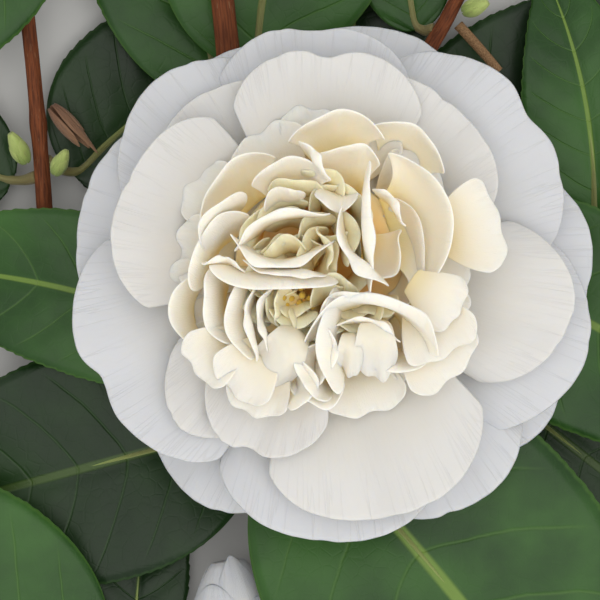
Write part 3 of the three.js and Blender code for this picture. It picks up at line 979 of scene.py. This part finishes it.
TWIGS = {
    "main_stem": Twig(((7, -116, 3.5), (4, -90, 4), (-2, -60, 4.5), (-7.6, -30, 5.5), (-12, 0, 8.5),
                       (-16.3, 36, 13.5), (-17.6, 48, 15.2), (-20, 70, 17), (-23, 88, 17)), 3.4, 1.7),
    "left_twig_foot": Twig(((0, -98, 4.2), (-20, -89, 4.5), (-40, -77, 4)), 2.1, 1.85),
    "left_twig": Twig(((-43.2, -73.2, 3.6), (-47.5, -30, 3.4), (-49.5, 9.6, 6.4), (-52.3, 43.6, 10),
                       (-55, 66, 11)), 1.8, 1.2),
    "right_twig": Twig(((-4.2, -14, 7.2), (3, 6, 7.5), (12, 25, 9), (19, 38.2, 10.5), (23.5, 46.2, 11),
                        (35, 70, 10)), 1.8, 1.1),
    "low_right_twig": Twig(((-3.4, -27, 5.6), (10, -20, 4), (28, -8, 3), (44, 0, 3)), 1.6, 1.1),
    "dead_stub": Twig(((24.4, 43, 11), (28, 39, 10.8), (31.7, 34.7, 10.4)), 0.95, 0.8),
    "flower_stalk": Twig(((-8.2, -1.5, 8.6), (-3.4, -0.8, 9.2), (-0.5, 0, 11.2), (0, 0, 13.6)), 1.7, 2.1),
}


@dataclass
class Stems:
    """The woody axes of the sprig, swollen at their joints and lightly furrowed."""

    twigs: dict[str, Twig] = field(default_factory=lambda: TWIGS)
    first_node: float = 9.0
    node_pitch: float = 27.0
    node_length: float = 2.2
    swelling: float = 0.16
    furrow: float = 0.035
    fine_furrow: float = 0.02
    sides: int = 28
    fewest_steps: int = 12
    step_length: float = 1.2
    cut_radii: tuple[float, ...] = (0.8, 0.86, 0.88, 0.88, 0.88)
    cut_step: float = 0.1
    cut_proud: float = 0.12

    def build(self, modeller: Modeller, finishes: Finishes) -> None:
        """Builds and dresses every axis."""
        for name, twig in self.twigs.items():
            length = sum((Vector(b) - Vector(a)).length for a, b in zip(twig.points, twig.points[1:]))
            steps = max(self.fewest_steps, round(length / self.step_length))
            chance = random.Random(name)
            phase = chance.uniform(*PHASES)
            radii = []
            for i in range(steps + 1):
                off_node = math.remainder(i / steps * length + self.first_node, self.node_pitch)
                swell = 1 + self.swelling * bell(off_node, self.node_length)
                radii.append(twig.radius(i / steps) * swell)

            def relief(turn: float, t: float) -> float:
                """Returns the bark's relief round and along the axis."""
                wander = 2 * math.sin(t * length / 9 + phase)
                fine = self.fine_furrow * math.sin(11 * turn - wander)
                return 1 + self.furrow * math.sin(5 * turn + wander) + fine

            piece = modeller.tube(f"{name}_bark", twig.route(steps), radii, self.sides, relief)
            if name == "main_stem":
                self._cut_face(modeller, finishes, twig)
            dry = name == "dead_stub"
            material = finishes.dead_wood if dry else finishes.bark
            modeller.settle(piece, material, "dead_wood" if dry else "bark", name)

    def _cut_face(self, modeller: Modeller, finishes: Finishes, twig: Twig) -> None:
        """Builds the paler wood that shows at the cut end, a hair proud of the bark."""
        first, second = twig.route(40)[:2]
        inward = (second - first).normalized()
        route = [first + inward * (self.cut_step * k - self.cut_proud) for k in range(len(self.cut_radii))]
        radii = [twig.foot * factor for factor in self.cut_radii]
        piece = modeller.tube("main_stem_cut_face", route, radii, self.sides)
        modeller.settle(piece, finishes.dead_wood, "dead_wood", "main_stem")


# ------------------------------------------------------------------------------- leaves


@dataclass(frozen=True)
class Leaf:
    """One leaf: its twig and place on it, blade base, heading, size, midrib heights and bow."""

    twig: str
    at: float
    base: tuple[float, float]
    heading: float
    length: float
    width: float
    heights: Triple
    bow: float = 0.0


LEAVES = {
    "leaf_top_left": Leaf("main_stem", 0.68, (-18.6, 30), 106, 80, 38, (6.6, 4.8, 0.4), -3),
    "leaf_top_right": Leaf("main_stem", 0.7, (-11.8, 35), 72, 80, 44, (9.4, 9.6, 0.4), 5),
    "leaf_left": Leaf("main_stem", 0.5, (-14, -15.5), 167, 68, 29, (11, 12.5, 0.4), -4),
    "leaf_lower_right": Leaf("main_stem", 0.51, (-5, -26.4), -52, 105, 60, (14.8, 17.8, 0.4), 3),
    "leaf_bottom_left": Leaf("left_twig_foot", 0.86, (-40, -75), 155, 82, 50, (9, 14, 0.4)),
    "leaf_right": Leaf("low_right_twig", 0.42, (18, 4), -29, 80, 38, (9, 13, 0.4), 2),
    "leaf_lower_left": Leaf("main_stem", 0.4, (-12, -28), 195, 74, 42, (7.2, 8.6, 0.4)),
    "leaf_bottom": Leaf("left_twig_foot", 0.68, (-34.4, -73.8), 85, 44, 18, (4.6, 3, 0.4)),
    "leaf_right_low": Leaf("low_right_twig", 0.6, (24, -16), -38, 68, 38, (3.6, 4.6, 0.4)),
    "leaf_upper_right": Leaf("low_right_twig", 0.97, (48.6, 4), 100, 50, 24, (6.5, 9.5, 5), -3),
    "leaf_right_back": Leaf("right_twig", 0.42, (15, 15), 33, 62, 34, (3.4, 3, 0.4)),
    "leaf_top_back": Leaf("right_twig", 0.5, (4, 26), 84, 60, 28, (4.4, 4, 0.4)),
    "leaf_top_small": Leaf("right_twig", 0.66, (17, 42), 96, 40, 18, (9, 9.4, 5.6), 1),
    "leaf_upper_left": Leaf("left_twig", 0.66, (-44.5, 16), 37, 48, 34, (3.4, 2.6, 0.4), 2),
    "leaf_corner": Leaf("left_twig", 0.97, (-49, 69), 214, 66, 36, (12, 13.5, 0.4), 3),
    "leaf_far_left": Leaf("left_twig", 0.64, (-55.5, 15), 156, 50, 26, (4.4, 5, 0.4)),
    "leaf_left_tip": Leaf("left_twig", 0.99, (-57, 72), 112, 60, 30, (7, 8, 0.4), 2),
    "leaf_stem_tip_left": Leaf("main_stem", 0.99, (-30, 92), 130, 52, 28, (15, 14, 0.4), 2),
    "leaf_stem_tip_right": Leaf("main_stem", 0.97, (-16.5, 95), 66, 54, 29, (15.5, 16, 0.4), -2),
    "leaf_twig_tip_left": Leaf("right_twig", 0.97, (35, 76), 88, 56, 27, (9.5, 9.5, 1), 2),
    "leaf_twig_tip_right": Leaf("right_twig", 0.93, (39.5, 68), 24, 56, 29, (8.4, 9.5, 0.4), -2),
}

# The leaves that take the darker leaf finish, whose colour is painted shade.
SHADED_LEAVES = {"leaf_right_back", "leaf_top_back", "leaf_upper_left", "leaf_bottom", "leaf_right_low",
                 "leaf_far_left", "leaf_lower_left"}


@dataclass
class Leaves:
    """The leaves: quilted between their side veins, finely toothed, each on its petiole."""

    leaves: dict[str, Leaf] = field(default_factory=lambda: LEAVES)
    mesh: tuple[int, int] = (22, 108)
    thickness: float = 0.42
    fold: float = 0.12
    quilting: float = 0.26
    tooth: float = 0.3
    tooth_pitch: float = 2.1
    petiole: float = 0.95
    groove: float = 0.3
    clearance: float = 0.35
    widest: float = 0.385
    first_seed: int = 900
    petiole_steps: int = 60
    petiole_sides: int = 12
    petiole_sag: float = 0.2
    rib_drop: float = 0.35
    rib_places: tuple[float, ...] = (0.04, 0.16, 0.34, 0.55)

    def profile(self, s: float) -> float:
        """Returns the half width of a blade over its greatest: round base, drawn-out tip."""
        greatest = math.sqrt(self.widest) * (1 - self.widest) ** 0.8
        return math.sqrt(s) * (1 - s) ** 0.8 / greatest

    def midrib(self, leaf: Leaf) -> Callable[[float], tuple[Vector, Vector]]:
        """Returns the midrib's place and direction as a function of the way along it."""
        along = heading(leaf.heading)
        low, middle, high = leaf.heights
        foot = Vector((*leaf.base, low))
        tip = foot + along * leaf.length
        tip.z = high
        control = foot.lerp(tip, 0.5) + UP.cross(along) * 2 * leaf.bow
        control.z = 2 * middle - (low + high) / 2

        def at(s: float) -> tuple[Vector, Vector]:
            """Returns place and unit direction."""
            spot = foot * (1 - s) ** 2 + control * 2 * s * (1 - s) + tip * s * s
            direction = (control - foot) * (1 - s) + (tip - control) * s
            return spot, direction.normalized()

        return at

    def blade(self, leaf: Leaf, seed: int) -> Place:
        """Returns the surface of one blade."""
        chance = random.Random(seed)
        at = self.midrib(leaf)
        phase = chance.uniform(*PHASES)
        sway = chance.uniform(0.5, 1.1)

        def place(u: float, v: float) -> Vector:
            """Places one point."""
            s = 0.004 + 0.992 * v
            spot, direction = at(s)
            left, above = cross_axes(direction)
            out = abs(u)
            saw = (s * leaf.length / self.tooth_pitch) % 1.0
            teeth = self.tooth * saw * smooth(out, 0.9, 1.0) * smooth(s, 0.12, 0.3)
            half = leaf.width / 2 * self.profile(s) + teeth
            vein = abs(((s - VEIN_LEAN * out**VEIN_BOW) * VEIN_PAIRS) % 1.0 - 0.5) * 2
            quilt = self.quilting * (vein**0.6 - 0.6) * smooth(out, 0.0, 0.25) * (1 - smooth(out, 0.8, 1.0))
            groove = -self.groove * bell(u, 0.05)
            wave = sway * out**3 * math.sin(s * 9 + phase + (0 if u > 0 else 1.7)) * 0.8 * smooth(s, 0, 0.2)
            rise = self.fold * out * half - 0.05 * half * out**4 + quilt + groove
            rise += max(wave, -0.2) * (1 - smooth(s, 0.85, 1))
            point = spot + left * (u * half) + above * rise
            point.z = max(point.z, self.clearance)
            return point

        return place

    def build(self, modeller: Modeller, finishes: Finishes) -> None:
        """Builds and dresses every leaf with its petiole."""
        for i, (name, leaf) in enumerate(self.leaves.items()):
            short = name.removeprefix("leaf_")
            blade = modeller.sheet(f"blade_{short}", self.mesh, self.blade(leaf, self.first_seed + i))
            modeller.thicken(blade, self.thickness, 0)
            # Leaves in shade take the darker finish, which is painted shade.
            material = finishes.shaded_leaf if name in SHADED_LEAVES else finishes.leaf
            modeller.settle(blade, material, "leaf", name)
            at = self.midrib(leaf)
            foot = at(0.0)[0]
            start = TWIGS[leaf.twig].stalk_start(leaf.at, foot)
            along_rib = [at(s)[0] - UP * self.rib_drop for s in self.rib_places]
            steps = self.petiole_steps
            route = smooth_route([start, start.lerp(foot, 0.6) - UP * self.petiole_sag, *along_rib], steps)
            radii = [self.petiole * (1.25 - 0.35 * smooth(k, 0, 8)) * (1 - 0.75 * smooth(k, 14, steps))
                     for k in range(steps + 1)]
            stalk = modeller.tube(f"petiole_{short}", route, radii, self.petiole_sides)
            modeller.settle(stalk, finishes.petiole, "leaf", name)


# ------------------------------------------------------------------------ calyx and buds


@dataclass(frozen=True)
class Wrapped:
    """A body of overlapping scales round an axis: a bud, a calyx or a husk."""

    node: str
    foot: Triple
    heading: float
    climb: float
    length: float
    width: float
    scales: int
    spread: float
    open_tip: float = 0.0

    def axis(self) -> Vector:
        """Returns the unit direction of the axis."""
        climb = math.radians(self.climb)
        return (heading(self.heading) * math.cos(climb) + UP * math.sin(climb)).normalized()


WRAPPED = (
    Wrapped("opening_bud", (-13.5, -75, 10.2), 98, 2, 24, 18.6, 7, 150, 0.1),
    Wrapped("green_bud_left", (-52.7, 18.5, 8.6), 118, 30, 7, 3.4, 5, 120),
    Wrapped("green_bud_twig", (-47.6, 16.4, 9.2), 62, 35, 6, 3.0, 5, 120),
    Wrapped("green_bud_fork", (25.2, 45.2, 12), 20, 25, 5.5, 3.2, 5, 120),
    Wrapped("stem_tip_bud", (-23.2, 90.2, 17.1), 100, 8, 9, 4.2, 6, 120),
    Wrapped("old_husk", (-48.4, 28.6, 8.6), -48, -8, 12, 3.6, 4, 80, 0.5),
    Wrapped("calyx", (0, 0, 14.2), 0, 90, 11, 15.6, 8, 90, 0.8),
)


@dataclass
class Buds:
    """The calyx, the buds and the husk, each of scales that overlap towards the tip."""

    bodies: tuple[Wrapped, ...] = WRAPPED
    mesh: tuple[int, int] = (10, 9)
    thickness: float = 0.3
    tip_drop: float = 0.3
    kernel_steps: int = 24
    kernel_width: float = 0.45
    kernel_sides: int = 20
    large: float = 8.0
    open_bodies: tuple[str, ...] = ("calyx", "old_husk")

    def scale(self, body: Wrapped, number: int) -> Place:
        """Returns the surface of one scale of a body."""
        axis = body.axis()
        left, above = cross_axes(axis)
        step = number / max(1, body.scales - 1)
        middle = math.radians(GOLDEN_ANGLE * number)
        half_turn = math.radians(body.spread) / 2
        reach = 0.62 + 0.38 * step
        layer = 1.0 - 0.09 * step

        def place(u: float, v: float) -> Vector:
            """Places one point."""
            t = v * reach * rounded(u, self.tip_drop)
            turn = middle + u * half_turn * (0.55 + 0.45 * math.sin(math.pi * min(1, t * 1.3)))
            girth = self.girth(t)
            swell = girth + body.open_tip * smooth(t, 0.3, 1.0) * (1 - girth)
            hug = 1 - 0.06 * smooth(v, 0.6, 1.0)
            radius = body.width / 2 * max(0.06, swell) * layer * hug * (1 + 0.02 * math.sin(9 * u + number))
            return Vector(body.foot) + axis * (t * body.length) + radius * (
                math.cos(turn) * left + math.sin(turn) * above)

        return place

    @staticmethod
    def girth(t: float) -> float:
        """Returns a body's girth over its greatest at a fraction of its length."""
        return max(0.0, math.sin(math.pi * min(1.0, 0.06 + 0.9 * t) ** 0.8)) ** 0.7

    def _kernel(self, modeller: Modeller, body: Wrapped) -> bpy.types.Object:
        """Makes the closed inner body that the scales wrap."""
        axis = body.axis()
        ways = [0.06 + 0.88 * k / self.kernel_steps for k in range(self.kernel_steps + 1)]
        route = [Vector(body.foot) + axis * body.length * t for t in ways]
        radii = [body.width * self.kernel_width * max(0.08, self.girth(t)) for t in ways]
        return modeller.tube(f"{body.node}_kernel", route, radii, self.kernel_sides)

    def build(self, modeller: Modeller, finishes: Finishes) -> None:
        """Builds and dresses every scale, and a kernel inside each closed bud."""
        dress = {"opening_bud": (finishes.petal, "petal"), "old_husk": (finishes.husk, "dead_wood"),
                 "calyx": (finishes.calyx, "calyx")}
        for body in self.bodies:
            material, slot = dress.get(body.node, (finishes.bud, "bud"))
            thickness = self.thickness if body.width > self.large else self.thickness / 2
            if body.node not in self.open_bodies:
                modeller.settle(self._kernel(modeller, body), material, slot, body.node)
            for number in range(body.scales):
                piece = modeller.sheet(f"{body.node}_scale_{number + 1}", self.mesh, self.scale(body, number))
                modeller.thicken(piece, thickness, 1)
                modeller.settle(piece, material, slot, body.node)


# ------------------------------------------------------------------------------- studio


@dataclass(frozen=True)
class Panel:
    """A square soft light that faces the bloom: its place and size in metres, power and colour."""

    name: str
    at: Triple
    size: float
    power: float
    colour: Colour

    def build(self) -> None:
        """Hangs the panel."""
        data = bpy.data.lights.new(self.name, "AREA")
        data.size = self.size
        data.energy = self.power
        data.color = self.colour
        panel = bpy.data.objects.new(self.name, data)
        panel.location = self.at
        panel.rotation_euler = (-Vector(self.at)).to_track_quat("-Z", "Y").to_euler()
        bpy.context.scene.collection.objects.link(panel)


@dataclass
class Studio:
    """The floor, the soft lights and the camera that looks straight down on the bloom."""

    view_middle: tuple[float, float] = (-3.8, -6.1)
    rim_height: float = 30.0
    view_width: float = 104.7
    lens: float = 300.0
    sensor: float = 36.0
    floor_size: float = 3.0
    floor_gap: float = 0.0002
    room_colour: tuple[float, ...] = (1, 0.995, 0.98, 1)
    room_strength: float = 0.86
    panels: tuple[Panel, ...] = (
        Panel("sky_panel", (0.08, -0.16, 1.3), 1.4, 7.4, (1, 0.98, 0.95)),
        Panel("window_panel", (0.7, -0.8, 0.8), 0.6, 2.0, (1, 0.985, 0.96)),
    )

    def build(self, modeller: Modeller) -> None:
        """Builds the floor, the lights and the camera."""
        self._floor()
        for panel in self.panels:
            panel.build()
        self._room()
        self._camera(modeller)

    def _floor(self) -> None:
        """Lays the pale floor a hair under the sprig."""
        bm = bmesh.new()
        bmesh.ops.create_grid(bm, x_segments=8, y_segments=8, size=self.floor_size / 2)
        data = bpy.data.meshes.new("floor")
        bm.to_mesh(data)
        bm.free()
        floor = bpy.data.objects.new("floor", data)
        floor.location.z = -self.floor_gap
        floor.data.materials.append(FloorFinish().build())
        bpy.context.scene.collection.objects.link(floor)

    def _room(self) -> None:
        """Fills the room with even light, and shows tones as they are."""
        world = bpy.data.worlds.new("soft_room")
        world.use_nodes = True
        backdrop = world.node_tree.nodes["Background"]
        backdrop.inputs["Color"].default_value = self.room_colour
        backdrop.inputs["Strength"].default_value = self.room_strength
        bpy.context.scene.world = world
        bpy.context.scene.view_settings.view_transform = "Standard"

    def _camera(self, modeller: Modeller) -> None:
        """Hangs the camera over the bloom, so that a wanted width fills the view."""
        lens = bpy.data.cameras.new("camera")
        lens.lens = self.lens
        lens.sensor_width = self.sensor
        camera = bpy.data.objects.new("camera", lens)
        distance = self.view_width * self.lens / self.sensor
        camera.location = modeller.place(Vector((*self.view_middle, self.rim_height + distance)))
        bpy.context.scene.collection.objects.link(camera)
        bpy.context.scene.camera = camera


def main() -> None:
    """Builds the studio and every sub-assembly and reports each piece."""
    modeller = Modeller()
    finishes = Finishes()
    Studio().build(modeller)
    for assembly in (Stems(), Leaves(), Buds(), Petals(), Heart()):
        made = len(modeller.pieces)
        assembly.build(modeller, finishes)
        for piece in modeller.pieces[made:]:
            LOG.info("%s: %s", type(assembly).__name__, piece.name)
    LOG.info("pieces in all: %d", len(modeller.pieces))


if __name__ == "__main__":
    main()
